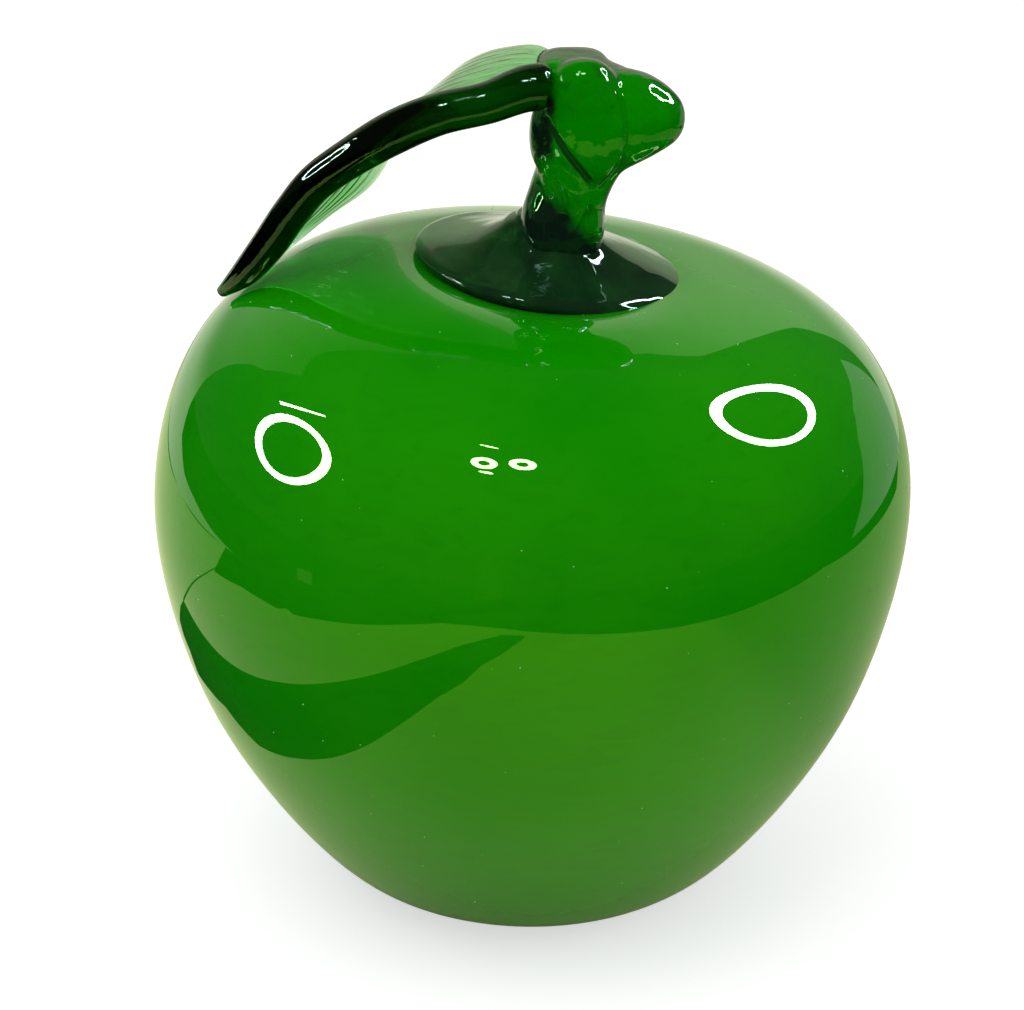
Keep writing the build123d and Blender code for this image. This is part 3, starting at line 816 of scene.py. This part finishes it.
def wallMaterial(values):  # a glowing wall, dimmer towards its top and on its left above the table
    material, tree = newMaterial("whiteWall")
    place = addNode(tree, "ShaderNodeTexCoord").outputs["Object"]
    at = addNode(tree, "ShaderNodeSeparateXYZ", {}, [place]).outputs
    climb = addNode(tree, "ShaderNodeMath", {"operation": "DIVIDE"}, [at["Z"], values["wallTop"] * mm])
    ramp = addNode(tree, "ShaderNodeValToRGB", {}, {"Fac": climb})
    stops = ramp.color_ramp.elements
    ramp.color_ramp.interpolation = "EASE"
    while len(stops) < len(values["wallLight"]):
        stops.new(0.5)
    for i, level in enumerate(values["wallLight"]):
        stops[i].position = i / (len(values["wallLight"]) - 1)
        stops[i].color = (*[level * share for share in values["wallTint"]], 1)
    left = addNode(tree, "ShaderNodeMapRange", {"interpolation_type": "SMOOTHSTEP"}, {
        "Value": at["X"], "From Min": values["leftX"][0], "From Max": values["leftX"][1],
        "To Min": values["leftShare"], "To Max": 1.0})
    high = addNode(tree, "ShaderNodeMapRange", {"interpolation_type": "SMOOTHSTEP"}, {
        "Value": at["Z"], "From Min": values["leftZ"][0], "From Max": values["leftZ"][1]})
    dim = addNode(tree, "ShaderNodeMix", {"data_type": "FLOAT"}, {0: high, 2: 1.0, 3: left})
    glow = addNode(tree, "ShaderNodeEmission", {}, {"Color": ramp, "Strength": dim})
    addNode(tree, "ShaderNodeOutputMaterial", {}, {"Surface": glow})
    return material


def makeWorld(values):  # white for the camera, plain on the object, dim in its gloss
    world = bpy.data.worlds.new("studio")
    bpy.context.scene.world = world
    world.use_nodes = True
    tree = world.node_tree
    tree.nodes.clear()
    rays = addNode(tree, "ShaderNodeLightPath").outputs
    way = addNode(tree, "ShaderNodeTexCoord").outputs["Generated"]
    rise = addNode(tree, "ShaderNodeSeparateXYZ", {}, [way]).outputs["Z"]
    band = addNode(tree, "ShaderNodeMapRange", {"interpolation_type": "SMOOTHSTEP"}, {
        "Value": rise, "From Min": values["sideBand"][0], "From Max": values["sideBand"][1],
        "To Min": values["roomThroughGlass"], "To Max": values["sidesThroughGlass"]})
    glossy = addNode(tree, "ShaderNodeMix", {"data_type": "FLOAT"}, {
        0: rays["Is Glossy Ray"], 2: values["daylight"], 3: values["room"]})
    through = addNode(tree, "ShaderNodeMix", {"data_type": "FLOAT"}, {
        0: rays["Is Transmission Ray"], 2: glossy, 3: band})
    level = addNode(tree, "ShaderNodeMath", {"operation": "MAXIMUM"}, [through, rays["Is Camera Ray"]])
    sky = addNode(tree, "ShaderNodeBackground", {}, {"Color": (1, 1, 1, 1), "Strength": level})
    addNode(tree, "ShaderNodeOutputWorld", {}, {"Surface": sky})


def onlyReflected(thing):  # seen by gloss and through glass, but not by the camera or the diffuse light
    thing.visible_camera = thing.visible_diffuse = thing.visible_shadow = thing.visible_volume_scatter = False


def flatMesh(name, points, faces, material):
    mesh = bpy.data.meshes.new(name)
    mesh.from_pydata(points, [], faces)
    thing = newObject(name, mesh)
    mesh.materials.append(material)
    return thing


def makeRing(name, at, turn, rise, distance, size, hole, count, material):
    turn, rise = math.radians(turn), math.radians(rise)
    way = Vector((math.sin(turn) * math.cos(rise), -math.cos(turn) * math.cos(rise), math.sin(rise)))
    centre = Vector(at) + way * distance
    side = way.cross(Vector((0, 0, 1))).normalized()
    top = side.cross(way)
    points = []
    for wide, high in ((1, 1), hole):
        points += [centre + side * (math.cos(math.tau * i / count) * size[0] * wide)
                   + top * (math.sin(math.tau * i / count) * size[1] * high) for i in range(count)]
    faces = [(i, (i + 1) % count, count + (i + 1) % count, count + i) for i in range(count)]
    onlyReflected(flatMesh(name, points, faces, material))


def makeWall(name, outline, radius, material):  # an outline of turns and heights, bent round the room
    work = bmesh.new()
    face = work.faces.new([work.verts.new((turn, height, 0)) for turn, height in outline])
    bmesh.ops.triangulate(work, faces=[face])
    turns = [turn for turn, height in outline]
    for turn in range(int(min(turns)) + 1, int(max(turns)) + 1, 3):
        everything = work.verts[:] + work.edges[:] + work.faces[:]
        bmesh.ops.bisect_plane(work, geom=everything, plane_co=(turn, 0, 0), plane_no=(1, 0, 0))
    for vert in work.verts:
        turn = math.radians(vert.co.x)
        vert.co = (radius * math.sin(turn), -radius * math.cos(turn), vert.co.y * mm)
    mesh = bpy.data.meshes.new(name)
    work.to_mesh(mesh)
    work.free()
    mesh.materials.append(material)
    onlyReflected(newObject(name, mesh))


def lay(name, outline, height, material):  # a flat thing on the table, seen by gloss and through glass alone
    points = [(x * mm, y * mm, height) for x, y in outline]
    onlyReflected(flatMesh(name, points, [tuple(range(len(points)))], material))


def makeStudio(values):
    half, level = values["floorHalf"], values["floorLevel"]
    corners = [(-half, -half, level), (half, -half, level), (half, half, level), (-half, half, level)]
    floor = flatMesh("floor", corners, [(0, 1, 2, 3)], floorMaterial(values))
    pale = paperMaterial("paleTable", values, values["tableGreyAndShade"], values["tableTint"])
    lay("table", values["table"], values["tableLevel"], pale)
    black = paperMaterial("darkPatchMatt", values, values["patchColour"])
    for name in ("darkPatch", "darkLine"):
        lay(name, values[name], values["patchLevel"], black)
    makeWall("wall", values["wall"], values["wallRadius"], wallMaterial(values))
    for name, (light, outline) in values["cards"].items():
        makeWall(name, outline, values["wallRadius"], lampMaterial(name, light))
    ringGlow = lampMaterial("ringLamp", 1.0, values["ringColour"])
    makeWall("strip", values["strip"], values["wallRadius"], ringGlow)
    for i, lamp in enumerate(values["ringLamps"]):
        makeRing(f"ringLamp{i}", *lamp, values["ringSides"], ringGlow)
    spotGlow = lampMaterial("spotLamp", 1.0, values["spotColour"])
    for i, lamp in enumerate(values["spotLamps"]):
        makeRing(f"spotLamp{i}", *lamp, values["ringSides"], spotGlow)
    for place, energy, size in values["lights"]:
        soft = bpy.data.lights.new("softbox", "AREA")
        soft.energy, soft.size = energy, size
        lamp = newObject("softbox", soft)
        turned = Vector(place).to_track_quat("Z", "Y").to_matrix().to_4x4()
        lamp.matrix_world = Matrix.Translation(place) @ turned
        lamp.visible_glossy = lamp.visible_transmission = False
    makeWorld(values)


makeStudio(studio)
print("studio ready")


# Camera

# place and aim in m, lens and sensor in mm, and the nearest and farthest that it sees in m
view = {"place": (0.0, -0.494337, 0.284304), "aim": (-0.0028, 0.0, 0.0594), "lens": 126.33, "sensor": 36.0,
        "near": 0.01, "far": 20.0}
lens = bpy.data.cameras.new("camera")
lens.sensor_width, lens.lens = view["sensor"], view["lens"]
lens.clip_start, lens.clip_end = view["near"], view["far"]
camera = newObject("camera", lens)
camera.location = view["place"]
camera.rotation_mode = "QUATERNION"
camera.rotation_quaternion = (Vector(view["aim"]) - Vector(view["place"])).to_track_quat("-Z", "Y")
bpy.context.scene.camera = camera
bpy.context.scene.view_settings.view_transform = "Standard"
print("camera ready")
